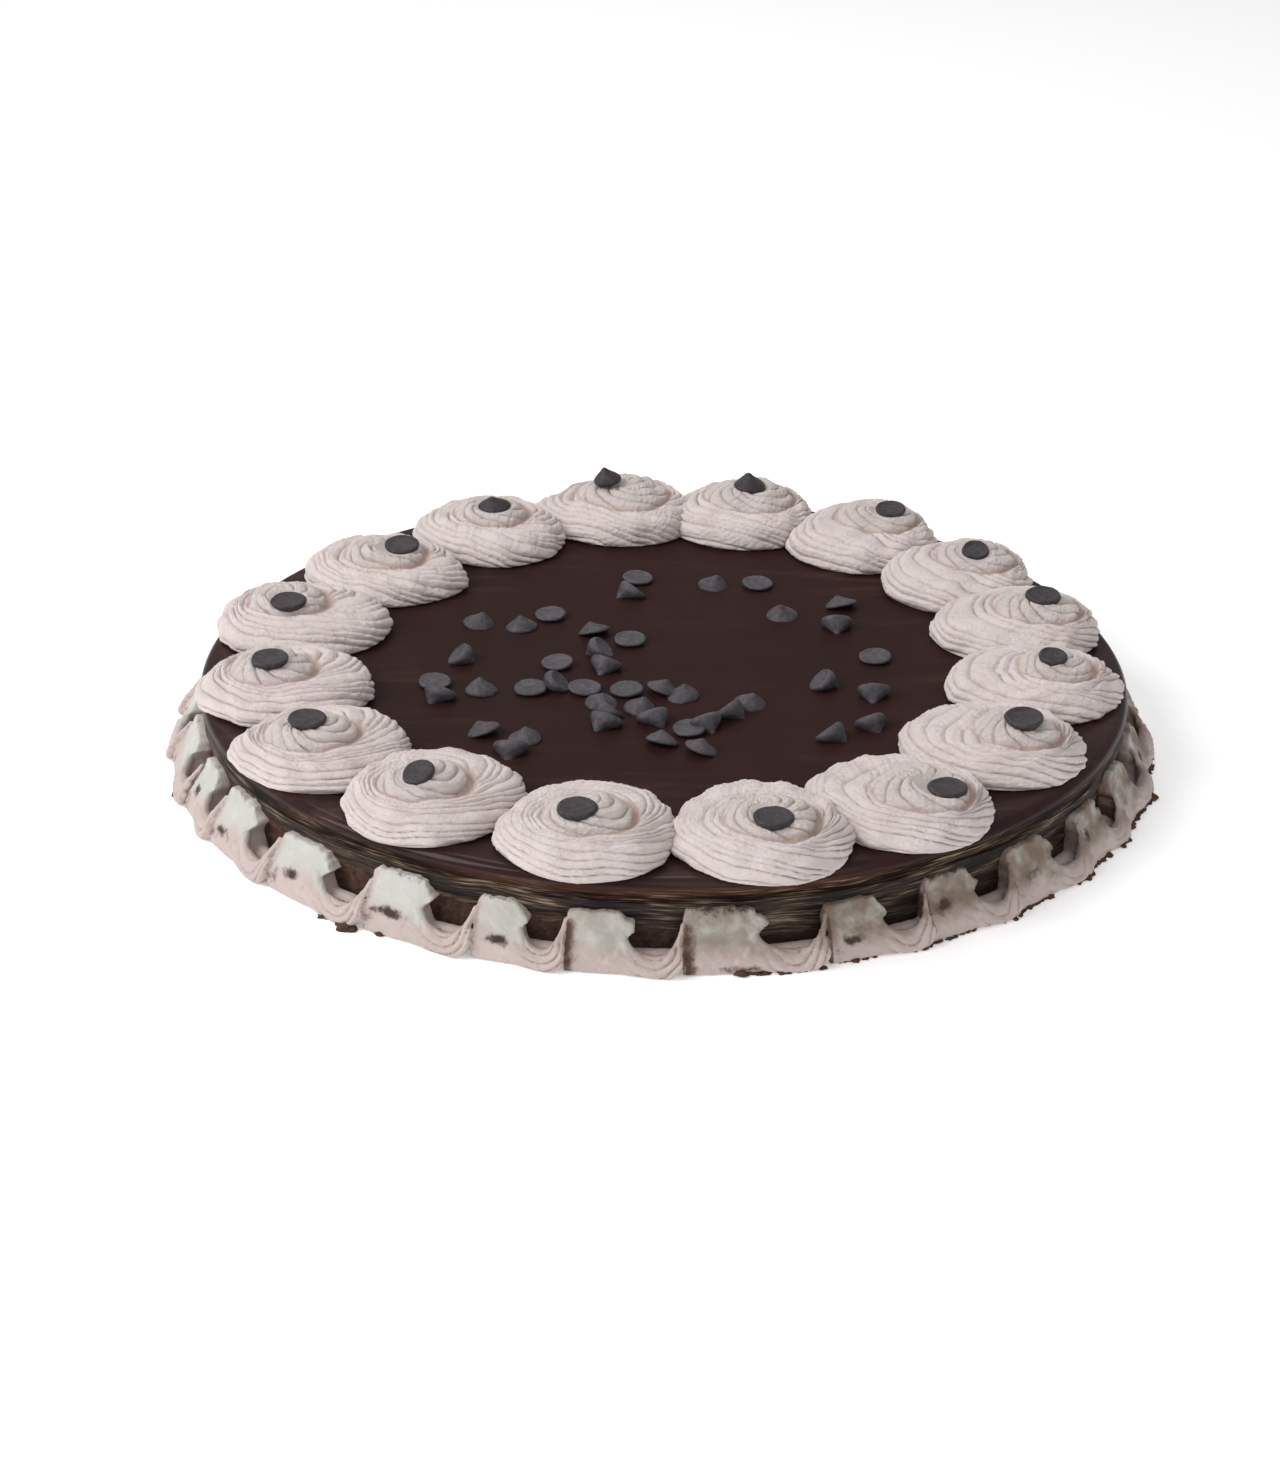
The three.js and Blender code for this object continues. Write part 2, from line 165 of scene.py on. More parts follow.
def places_of(piece):
    """The points of a piece in millimetres, as an array."""
    flat = np.empty(3 * len(piece.data.vertices))
    piece.data.vertices.foreach_get("co", flat)
    return flat.reshape(-1, 3) / MM


def put_places(piece, places):
    piece.data.vertices.foreach_set("co", (places * MM).ravel())
    piece.data.update()


def paint(piece, name, values):
    """Keeps a value for each point of a piece, for its material."""
    layer = piece.data.attributes.new(name, "FLOAT", "POINT")
    layer.data.foreach_set("value", np.asarray(values, dtype=np.float32))


def wobble(*place, seed=0):
    """Smooth noise between about -1 and 1 at a place given in any number of coordinates."""
    x, y, z = (*place, 0, 0)[:3]
    return noise.noise(Vector((x, y, z + 17.3 * seed)))


def hold(piece):
    """Makes a piece the only one selected, and the active one."""
    bpy.ops.object.select_all(action="DESELECT")
    piece.select_set(True)
    bpy.context.view_layer.objects.active = piece


def finish_with(piece, kind, **settings):
    """Adds a modifier to a piece and applies it."""
    hold(piece)
    modifier = piece.modifiers.new(kind, kind)
    for name, value in settings.items():
        setattr(modifier, name, value)
    bpy.ops.object.modifier_apply(modifier=modifier.name)


def placed(name, data):
    """Puts a new object into the scene."""
    piece = bpy.data.objects.new(name, data)
    bpy.context.scene.collection.objects.link(piece)
    return piece


def copy_of(model):
    """A copy of a piece, with its own mesh."""
    piece = model.copy()
    piece.data = model.data.copy()
    bpy.context.scene.collection.objects.link(piece)
    return piece


def joined(pieces, name):
    hold(pieces[0])
    for piece in pieces:
        piece.select_set(True)
    bpy.ops.object.join()
    whole = bpy.context.object
    whole.name = name
    whole.data.name = name
    return whole


def serve(piece, material, slot, *nodes):
    """Gives a finished piece its material, hangs it under the root body and hides the solids it stands for.
    """
    hold(piece)
    bpy.ops.object.shade_smooth()
    piece.data.materials.clear()
    piece.data.materials.append(material)
    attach(piece, "root")
    if nodes:
        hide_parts(*nodes)


def spun(name, profile, steps):
    """A profile of (distance out, height) drawn point by point and spun into a closed body."""
    bpy.ops.object.select_all(action="DESELECT")
    start = Vector((profile[0][0] * MM, 0, profile[0][1] * MM))
    bpy.ops.mesh.primitive_plane_add(size=MM, location=(0, 0, 0))
    piece = bpy.context.object
    bpy.ops.object.mode_set(mode="EDIT")
    bpy.ops.mesh.merge(type="CENTER")
    bpy.ops.transform.translate(value=start)
    for (r0, z0), (r1, z1) in zip(profile, profile[1:]):
        step = ((r1 - r0) * MM, 0, (z1 - z0) * MM)
        bpy.ops.mesh.extrude_vertices_move(TRANSFORM_OT_translate={"value": step})
    bpy.ops.mesh.select_all(action="SELECT")
    bpy.ops.mesh.spin(steps=steps, angle=TURN, center=(0, 0, 0), axis=(0, 0, 1))
    bpy.ops.mesh.select_all(action="SELECT")
    bpy.ops.mesh.remove_doubles(threshold=0.01 * MM)
    bpy.ops.mesh.normals_make_consistent(inside=False)
    bpy.ops.object.mode_set(mode="OBJECT")
    piece.name = name
    piece.data.name = name
    return piece


def reshape(piece, move):
    """Moves every point of a piece by a function of its place in millimetres."""
    for vertex in piece.data.vertices:
        vertex.co = Vector(move(*(vertex.co / MM))) * MM
    piece.data.update()


# ---- Materials ----
class Value:
    """A number that varies over a surface, with ordinary arithmetic."""

    def __init__(self, finish, socket):
        self.finish = finish
        self.socket = socket

    def _math(self, operation, a, b):
        return self.finish.node("ShaderNodeMath", {"operation": operation}, {0: a, 1: b})

    def __add__(self, other):
        return self._math("ADD", self, other)

    def __radd__(self, other):
        return self._math("ADD", other, self)

    def __sub__(self, other):
        return self._math("SUBTRACT", self, other)

    def __rsub__(self, other):
        return self._math("SUBTRACT", other, self)

    def __mul__(self, other):
        return self._math("MULTIPLY", self, other)

    def __rmul__(self, other):
        return self._math("MULTIPLY", other, self)


class Finish:
    """A material: its shader's plain values, and the nodes that vary them."""

    def __init__(self, name, roughness, specular=0.5, **plain):
        self.material = bpy.data.materials.new(name)
        self.material.use_nodes = True
        self.tree = self.material.node_tree
        self.shader = self.tree.nodes["Principled BSDF"]
        self.shader.inputs["Roughness"].default_value = roughness
        self.shader.inputs["Specular IOR Level"].default_value = specular
        for name, value in plain.items():
            self.shader.inputs[name.replace("_", " ")].default_value = value

    def feed(self, socket, value):
        if isinstance(value, Value):
            self.tree.links.new(value.socket, socket)
        elif socket.type == "RGBA" and len(value) == 3:
            socket.default_value = (*value, 1)
        else:
            socket.default_value = value

    def node(self, kind, settings=None, inputs=None, output=0):
        node = self.tree.nodes.new(kind)
        for name, value in (settings or {}).items():
            if name == "stops":
                self.set_stops(node.color_ramp, value)
            else:
                setattr(node, name, value)
        for key, value in (inputs or {}).items():
            self.feed(node.inputs[key], value)
        return Value(self, node.outputs[output])

    def set_stops(self, ramp, stops):
        while len(ramp.elements) < len(stops):
            ramp.elements.new(0.5)
        for element, (place, color) in zip(ramp.elements, stops):
            element.position = place
            element.color = (*color, 1)

    def place(self):
        return self.node("ShaderNodeTexCoord", output="Object")

    def part(self, vector, axis):
        return self.node("ShaderNodeSeparateXYZ", inputs={0: vector}, output=axis)

    def vector(self, x, y, z):
        return self.node("ShaderNodeCombineXYZ", inputs={0: x, 1: y, 2: z})

    def grain(self, place, scale, detail=4, rough=0.55, stretch=(1, 1, 1), distort=0):
        """Noise between 0 and 1, about scale lumps to the metre."""
        if stretch != (1, 1, 1):
            place = self.node("ShaderNodeMapping", inputs={"Vector": place, "Scale": stretch})
        inputs = {"Vector": place, "Scale": scale, "Detail": detail, "Roughness": rough}
        return self.node("ShaderNodeTexNoise", inputs={**inputs, "Distortion": distort})

    def fade(self, value, low, high, start=0, end=1):
        """Goes smoothly from start to end as a value goes from low to high."""
        inputs = {"Value": value, "From Min": low, "From Max": high, "To Min": start, "To Max": end}
        return self.node("ShaderNodeMapRange", {"interpolation_type": "SMOOTHSTEP"}, inputs)

    def tint(self, amount, color, other):
        """A colour that goes to another one as the amount goes from 0 to 1."""
        inputs = {0: amount, 6: color, 7: other}
        return self.node("ShaderNodeMix", {"data_type": "RGBA"}, inputs, output=2)

    def attribute(self, name):
        return self.node("ShaderNodeAttribute", {"attribute_name": name}, output="Fac")

    def raised(self, height, depth):
        """A bump as deep as depth, in metres, where height goes from 0 to 1."""
        inputs = {"Height": height, "Distance": depth, "Strength": 1}
        return self.node("ShaderNodeBump", inputs=inputs)

    def wear(self, **fed):
        """Feeds the shader's sockets and gives back the finished material."""
        for name, value in fed.items():
            self.feed(self.shader.inputs[name.replace("_", " ")], value)
        return self.material


def around_cake(finish, place):
    """Coordinates along the side: metres along the edge, taken from the angle, and the height."""
    x = finish.part(place, "X")
    y = finish.part(place, "Y")
    angle = finish.node("ShaderNodeMath", {"operation": "ARCTAN2"}, {0: y, 1: x})
    return angle * (CAKE_RADIUS * MM), finish.part(place, "Z")


def glaze_material():
    """Poured dark chocolate: even and satin, with faint smears towards the rim and combed sides."""
    dark, lighter = (0.028, 0.0117, 0.0114), (0.0325, 0.014, 0.0126)
    smeared, reddish = (0.056, 0.029, 0.0205), (0.085, 0.036, 0.022)
    finish = Finish("poured_glaze", 0.3, specular=0.03, Coat_Roughness=0.1)
    place = finish.place()
    cloudy = finish.grain(place, 22, detail=3)
    smears = finish.grain(place, 60, detail=5, stretch=(0.4, 2.2, 1), distort=0.6)
    color = finish.tint(finish.fade(cloudy, 0.45, 0.75), dark, lighter)
    x, y = finish.part(place, "X"), finish.part(place, "Y")
    out = finish.node("ShaderNodeMath", {"operation": "SQRT"}, {0: x * x + y * y})
    near_piping = finish.fade(out, 55 * MM, 85 * MM, 0.15, 0.9)
    color = finish.tint(finish.fade(smears, 0.5, 0.75) * near_piping, color, smeared)
    height = finish.part(place, "Z")
    side = 1 - finish.fade(height, 19.2 * MM, 20.6 * MM)
    color = finish.tint(side, color, streaks(finish, place))
    edge = finish.fade(height, 17.8 * MM, 19 * MM) * finish.fade(height, 19.8 * MM, 21 * MM, 1, 0)
    color = finish.tint(edge * finish.fade(y, -122 * MM, -106 * MM, 0.5, 0), color, reddish)
    rough = finish.fade(cloudy, 0.3, 0.8, 0.42, 0.52)
    rim = finish.fade(out, (CAKE_RADIUS - 22) * MM, (CAKE_RADIUS - 3) * MM) * (1 - side)
    bump = finish.raised(finish.grain(place, 260, detail=5), 0.0001)
    return finish.wear(Base_Color=color, Roughness=rough, Coat_Weight=rim * 0.25, Normal=bump)


def streaks(finish, place):
    """The colour of the combed side: long level streaks of dark, brown, olive and tan."""
    along, height = around_cake(finish, place)
    sway = finish.grain(place, 22, detail=2) * 0.007

    def drawn_out(lumps_along, lumps_up, layer, detail):
        """Noise with so many lumps to the metre."""
        drawn = finish.vector(along * lumps_along, (height + sway) * lumps_up, layer)
        return finish.node("ShaderNodeTexNoise", inputs={"Vector": drawn, "Scale": 1, "Detail": detail})

    broad = drawn_out(50, 430, 0, detail=3)
    fine = drawn_out(110, 2300, 5, detail=6)
    stops = [
        (0.43, (0.005, 0.003, 0.0025)),
        (0.49, (0.016, 0.009, 0.0065)),
        (0.535, (0.042, 0.0235, 0.0155)),
        (0.58, (0.095, 0.064, 0.041)),
        (0.64, (0.25, 0.2, 0.145)),
    ]
    level = broad * 0.46 + fine * 0.56
    return finish.node("ShaderNodeValToRGB", {"stops": stops}, {"Fac": level})


def coat_material():
    """The side under the glaze: combed above, and a dull reddish brown crumb lower down."""
    dark_crumb, light_crumb, shade = (0.026, 0.012, 0.008), (0.115, 0.055, 0.036), (0.012, 0.0055, 0.004)
    finish = Finish("combed_coat", 0.6, specular=0.3)
    place = finish.place()
    x, height = finish.part(place, "X"), finish.part(place, "Z")
    low = 1 - finish.fade(height + x * 0.04, 6 * MM, 11 * MM)
    crumbly = finish.grain(place, 420, detail=8, rough=0.7)
    brown = finish.tint(finish.fade(crumbly, 0.35, 0.7), dark_crumb, light_crumb)
    shaded = finish.fade(x, -20 * MM, 50 * MM, 0, 0.95)
    brown = finish.tint(shaded, brown, shade)
    color = finish.tint(low, streaks(finish, place), brown)
    return finish.wear(Base_Color=color, Normal=finish.raised(crumbly, 0.0006))


CREAM_GLOW = (1, 0.55, 0.4)  # how far red, green and blue light spread in cream, against each other


def cream_material():
    """Whipped cream, pale pink, with painted warm shade in its grooves and creases, and a fine grain drawn
    out by the nozzle.
    """
    pale, duller, greyish = (0.805, 0.71, 0.69), (0.74, 0.645, 0.617), (0.6, 0.54, 0.505)
    # groove is painted shade: the warm darker tone laid where the strands meet
    groove, speck = (0.45, 0.3, 0.235), (0.5, 0.4, 0.36)
    finish = Finish("whipped_cream", 0.62, specular=0.3, Subsurface_Weight=0.1, Subsurface_Scale=0.0015,
                    Subsurface_Radius=CREAM_GLOW)
    place = finish.place()
    mottled = finish.grain(place, 110, detail=4)
    deep = finish.fade(finish.attribute("groove"), 0.25, 1)
    color = finish.tint(finish.fade(mottled, 0.35, 0.7), pale, duller)
    color = finish.tint(finish.attribute("grey") * 0.5, color, greyish)
    # painted shade: the groove colour goes into the grooves between strands and the crease round the top
    # coil
    color = finish.tint(deep * 0.65, color, groove)
    fine = finish.grain(place, 1100, detail=5, rough=0.7)
    color = finish.tint(finish.fade(fine, 0.5, 0.75, 0, 0.42), color, speck)
    return finish.wear(Base_Color=color, Normal=finish.raised(fine, 0.0008))


def border_material():
    """The foot's cream: pinkish loops, and brown-stained tab faces made a dull grey green by painted shade
    and reflection.
    """
    # the loops' groove colour is painted shade
    pink, dull_pink, groove = (0.58, 0.49, 0.465), (0.46, 0.375, 0.345), (0.36, 0.22, 0.17)
    # the tab faces' grey green is the cream with painted shade and a painted greenish reflection
    shaded_reflecting_face, dull_shaded_reflecting_face = (0.6, 0.6, 0.56), (0.45, 0.44, 0.395)
    # the smear and crumb colours carry painted shade too: towards the right, and in the crevices between
    # tabs
    smear_and_right_shade, stained, crumb = (0.205, 0.147, 0.11), (0.05, 0.028, 0.022), (0.095, 0.05, 0.034)
    finish = Finish("border_cream", 0.6, specular=0.3, Subsurface_Weight=0.12, Subsurface_Scale=0.002,
                    Subsurface_Radius=CREAM_GLOW)
    place = finish.place()
    deep = finish.fade(finish.attribute("groove"), 0.2, 1)
    mottled = finish.grain(place, 160, detail=5)
    loops = finish.tint(mottled, pink, dull_pink)
    # painted shade in the grooves between the loops' ridges
    loops = finish.tint(deep * 0.8, loops, groove)
    faces = finish.tint(mottled, shaded_reflecting_face, dull_shaded_reflecting_face)
    # the pressed faces take the painted shade and reflection colour
    color = finish.tint(finish.attribute("pressed"), loops, faces)
    # partly real chocolate smear, partly painted shade: the tabs grow browner towards the right, away from
    # the key light
    smear_and_right_shade_mask = finish.attribute("smeared") * finish.fade(mottled, 0.15, 0.65)
    color = finish.tint(smear_and_right_shade_mask, color, smear_and_right_shade)
    smudge = finish.grain(place, 330, detail=5, rough=0.7)
    stain = finish.fade(smudge * 1.3 + finish.attribute("stain") * 0.62, 0.88, 1.28)
    color = finish.tint(stain, color, stained)
    # painted shade in the crevices between tabs, with some real brown smear, in the crumb colour
    crevice = finish.fade(smudge * 1.2 + finish.attribute("crevice") * 0.7, 0.72, 1.3)
    color = finish.tint(crevice, color, crumb)
    bump = finish.raised(finish.grain(place, 900, detail=5), 0.0003)
    return finish.wear(Base_Color=color, Normal=bump)


def chip_material(name, dark, dusted):
    """Dark chocolate with a dusty grey bloom."""
    finish = Finish(name, 0.5, specular=0.3)
    place = finish.place()
    dusty = finish.grain(place, 700, detail=6, rough=0.65)
    patches = finish.grain(place, 160, detail=2)
    bloom = finish.fade(dusty, 0.3, 0.75, 0, 0.7) + finish.fade(patches, 0.4, 0.7, 0, 0.3)
    color = finish.tint(bloom, dark, dusted)
    return finish.wear(Base_Color=color, Normal=finish.raised(dusty, 0.00025))


def crumb_material():
    dark, light = (0.03, 0.014, 0.01), (0.14, 0.07, 0.045)
    finish = Finish("cake_crumb", 0.8, specular=0.2)
    grain = finish.grain(finish.place(), 900, detail=6)
    color = finish.tint(grain, dark, light)
    return finish.wear(Base_Color=color, Normal=finish.raised(grain, 0.0004))


# ---- The glaze and the coat under it ----
def arc(x, z, radius, start, end, steps):
    angles = [math.radians(mix(start, end, i / steps)) for i in range(steps + 1)]
    return [(x + radius * math.cos(a), z + radius * math.sin(a)) for a in angles]


def make_glaze():
    lip = CAKE_HEIGHT - GLAZE_DROP
    under = CAKE_HEIGHT - GLAZE_THICK
    rim = CAKE_RADIUS - GLAZE_RIM
    rings = 24  # over the top
    profile = [(0, under), (SIDE_RADIUS - 4, under), (SIDE_RADIUS - 0.6, under - 2.6)]
    profile += [(SIDE_RADIUS - 0.6, lip + 0.4), (CAKE_RADIUS - 0.95, lip), (CAKE_RADIUS - 0.6, lip + 0.6)]
    profile += [(CAKE_RADIUS - 0.35, lip + 1.6), (CAKE_RADIUS - 0.15, lip + 2.6), (CAKE_RADIUS, lip + 3.6)]
    profile += arc(rim, CAKE_HEIGHT - GLAZE_RIM, GLAZE_RIM, 0, 90, 10)
    profile += [(rim * (1 - i / rings), CAKE_HEIGHT) for i in range(1, rings + 1)]
    glaze = spun("glaze_layer", profile, 288)

    def flow(x, y, z):
        """Sags here and there at the side, is combed low down, and lies uneven on top."""
        out = math.hypot(x, y)
        angle = math.atan2(y, x)
        if out > rim + 1:
            sag = 0.35 * wobble(3 * math.cos(angle), 3 * math.sin(angle), z * 0.1)
            comb = 0.12 * wobble(9 * math.cos(angle), 9 * math.sin(angle), z * 1.6, seed=1)
            low = 1 - smooth(z, 18, 21)
            scale = 1 + (min(0, sag) + comb * low) / out
            return x * scale, y * scale, z
        if z > under + 1:
            return x, y, z + 0.14 * wobble(x * 0.06, y * 0.06, seed=2)
        return x, y, z

    reshape(glaze, flow)
    return glaze


def make_coat():
    top = CAKE_HEIGHT - GLAZE_THICK - 0.3
    ring_apart = 0.28
    profile = [(0, 0), (SIDE_RADIUS - 0.3, 0)]
    profile += [(SIDE_RADIUS, ring * ring_apart) for ring in range(1, 62)]
    profile += [(SIDE_RADIUS - 2, top - 0.4), (SIDE_RADIUS - 4.5, top), (0, top)]
    coat = spun("coated_side", profile, 540)

    def comb(x, y, z):
        """Draws level lines high on the side, and roughens the crumb under them."""
        out = math.hypot(x, y)
        if out < SIDE_RADIUS - 1:
            return x, y, z
        angle = math.atan2(y, x)
        turned = (14 * math.cos(angle), 14 * math.sin(angle))
        high = smooth(z, 11, 14)
        fine = 0.28 * wobble(*turned, z * 1.9, seed=3)
        rough = 0.4 * wobble(4 * turned[0], 4 * turned[1], z * 0.5, seed=4)
        scale = 1 + (mix(rough, fine, high) + 0.75 * high) / out
        return x * scale, y * scale, z

    reshape(coat, comb)
    return coat


# ---- Chocolate chips ----
def make_chip():
    """One drop: a flat face with a soft dimple, round flanks and a small blunt point."""
    profile = [(0, 0.42), (2.2, 0.38), (3.5, 0.25), (4.05, 0), (4.4, 0.02), (4.75, 0.4), (4.8, 0.9)]
    profile += [(4.5, 1.5), (3.75, 2.25), (2.9, 2.9), (2.1, 3.5)]
    profile += [(1.4, 4.05), (0.95, 4.5), (0.6, 4.85), (0, 5.05)]
    chip = spun("chip", profile, 24)
    finish_with(chip, "SUBSURF", levels=1, render_levels=1)
    return chip


def chip_copy(model, matrix, seed):
    """A copy of the drop at its place, a little misshapen in its own way."""
    chip = copy_of(model)

    def misshape(x, y, z):
        aside = 0.7 * smooth(z, 1.5, CHIP_TALL)
        push = 1 + 0.07 * wobble(x * 0.25, y * 0.25, z * 0.25, seed=seed)
        tip_x = aside * math.cos(GOLDEN_ANGLE * seed)
        tip_y = aside * math.sin(GOLDEN_ANGLE * seed)
        return x * push + tip_x, y * push + tip_y, z + 0.1 * wobble(x, y, z, seed=seed)

    reshape(chip, misshape)
    chip.data.transform(matrix)
    return chip


SCATTERED = 0.94  # the size of a scattered chip against one on a rosette
CHIP_PRESSED = 0.7  # how much of its height a scattered chip keeps
CHIP_UP_PRESSED = 0.9  # the same where its point is up
CHIP_DRAWN = 1.45  # how much longer a chip that lies on its side is
FLAT_SUNK = 3.4 * CHIP_SUNK  # a chip on its point sits deeper


def chip_lie(lie, nth):
    """A scattered chip's place about the middle of where it lies, with the glaze at height 0."""
    pressed = Matrix.Diagonal((1, 1, CHIP_PRESSED, 1))
    if lie == "up":
        pressed = Matrix.Diagonal((1, 1, CHIP_UP_PRESSED, 1))
        return turned_chip(CHIP_LEAN, GOLDEN_ANGLE * nth, 0, -CHIP_SUNK) @ pressed
    if lie == "flat":
        towards_front = -TURN / 4 + 0.9 * math.sin(GOLDEN_ANGLE * nth)
        return pressed @ turned_chip(math.pi + CHIP_LEAN, towards_front, 0, CHIP_TALL - FLAT_SUNK)
    heading = math.radians(90 - 30 * lie)
    to_the_back = lie < 3 or lie > 9
    if to_the_back:
        rise = CHIP_WIDE / 2 * math.sin(CHIP_BACK_LEAN / 2) - CHIP_SUNK
        return turned_chip(CHIP_BACK_LEAN, heading, 0, rise) @ pressed
    long = CHIP_TALL * CHIP_DRAWN
    slope = math.atan2(long, CHIP_WIDE / 2)
    rise = CHIP_WIDE / 2 * math.sin(slope) - CHIP_SUNK
    drawn = Matrix.Diagonal((1, 1, CHIP_DRAWN, 1))
    return pressed @ turned_chip(math.pi - slope, heading, -1, rise) @ drawn


def turned_chip(tip, heading, forward, rise):
    """A chip tipped over by an angle towards a heading, and moved forward and up."""
    place = Matrix.Translation(Vector((forward, 0, rise)) * MM)
    return Matrix.Rotation(heading, 4, "Z") @ place @ Matrix.Rotation(tip, 4, "Y")


def make_scattered_chips(model):
    chips = []
    for (x, y), towards, step, lies in CHIP_ROWS:
        heading = math.radians(towards)
        for i, lie in enumerate(lies):
            nth = len(chips)
            place = (x + i * step * math.cos(heading), y + i * step * math.sin(heading), CAKE_HEIGHT)
            matrix = Matrix.Translation(Vector(place) * MM) @ chip_lie(lie, nth) @ Matrix.Scale(SCATTERED, 4)
            chips.append(chip_copy(model, matrix, nth))
    return joined(chips, "scattered_chips")


# ---- Piped rosettes ----
# A rosette's section from its middle to its foot: how far out, where 0.5 is the foot of the top coil
# and 1 the outline, and how high in millimetres.
ROSETTE_SECTION = [
    (0, 11.7), (0.12, 11.8), (0.24, 11.4), (0.34, 10.6), (0.42, 9.4), (0.5, 8.2), (0.6, 7.9), (0.7, 7.5),
    (0.8, 6.8), (0.88, 5.8), (0.94, 4.6), (0.98, 3.1), (1, 1.8), (0.99, 0.7), (0.96, 0),
]
TEETH = 8  # strands whose ends show where the piping starts, and so a whole number
STRAND_PITCH = 2.7
STRAND_DEPTH = 0.21  # times the pitch squared
FAN = math.radians(135)  # the piping's start is spread over this much of the outline
ROSETTE_ROUNDS = ((216, 136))  # points round it, and from middle to foot
FOOT_ROUNDS = 0.94  # share of the rounds above the foot
STRAND_ROOM = 0.6  # what the strands may add to the outline
BULGE_WIDE = 0.45  # in radians round the rosette


def rosette_frame(spec):
    angle = math.radians(spec["angle"])
    place = Vector((math.cos(angle), math.sin(angle), 0)) * spec["out"] * MM
    place.z = (CAKE_HEIGHT + 0.1) * MM
    return Matrix.Translation(place) @ Matrix.Rotation(angle, 4, "Z")


def strand(phase):
    """A row of round strands side by side: 1 on a crest and 0 in the groove between two."""
    across = 2 * (phase % 1) - 1
    return np.sqrt(np.maximum(0, 1 - across**2)) ** 0.8


def uneven_widths(phase, seed):
    """Makes some strands wider than others, alike on both sides of where the piping starts."""
    twice = 0.3 * np.sin(TURN * 2 / TEETH * phase + seed)
    thrice = 0.13 * np.sin(TURN * 3 / TEETH * phase - seed)
    return phase + twice + thrice


def spiral(turned):
    """How many strands the piping has moved in by, after a turn counted from its start."""
    t = np.clip(turned / FAN, 0, 1)
    return (TEETH - 1) * (0.25 * t + 0.75 * t * t * (3 - 2 * t)) + turned / TURN


def rosette_profile():
    """The section at even steps along it: the share outwards, the height, and which way it faces."""
    share, height = np.array(ROSETTE_SECTION).T
    run = np.concatenate([[0], np.cumsum(np.hypot(np.diff(share) * ROSETTE_SIDEWAYS, np.diff(height)))])
    along = np.linspace(0, run[-1], 400)
    half = 12
    blur = np.hanning(2 * half + 1)
    blur = blur / blur.sum()
    rows = (np.pad(np.interp(along, run, row), half, "edge") for row in (share, height))
    share, height = (np.convolve(row, blur, "valid") for row in rows)
    facing_out = -np.gradient(height)
    facing_up = np.gradient(share * ROSETTE_SIDEWAYS)
    long = np.hypot(facing_out, facing_up)
    return along, share, height, facing_out / long, facing_up / long


def make_ball():
    """The round ball that every rosette is pressed from."""
    bpy.ops.object.select_all(action="DESELECT")
    round_points, rounds = ROSETTE_ROUNDS
    bpy.ops.mesh.primitive_uv_sphere_add(segments=round_points, ring_count=rounds, radius=MM)
    return bpy.context.object


def rosette_outlines(spec, around, turned, seed):
    """How far out the top coil's foot and the whole outline are, in each direction."""
    ox, oy = np.cos(around), np.sin(around)
    oval = 1 / np.hypot(ox / (spec["wide"] / 2 - STRAND_ROOM), oy / (ROSETTE_SIDEWAYS - STRAND_ROOM))
    oval = oval + 0.6 * ripples(9 * ox, 9 * oy, 9, seed)
    towards, long = spec["bulge"]
    aside = np.angle(np.exp(1j * (around - math.radians(towards - spec["angle"]))))
    oval = oval + long * np.exp(-((aside / BULGE_WIDE) ** 2))
    snail = 0.3 * (1 - turned / TURN) * smooth_all(turned, 0, 1.2) - 0.13
    mound = spec["mound"] * ROSETTE_SIDEWAYS * (1 + snail) + 0.4 * ripples(5 * ox, 5 * oy, 5, seed + 30)
    return mound, oval


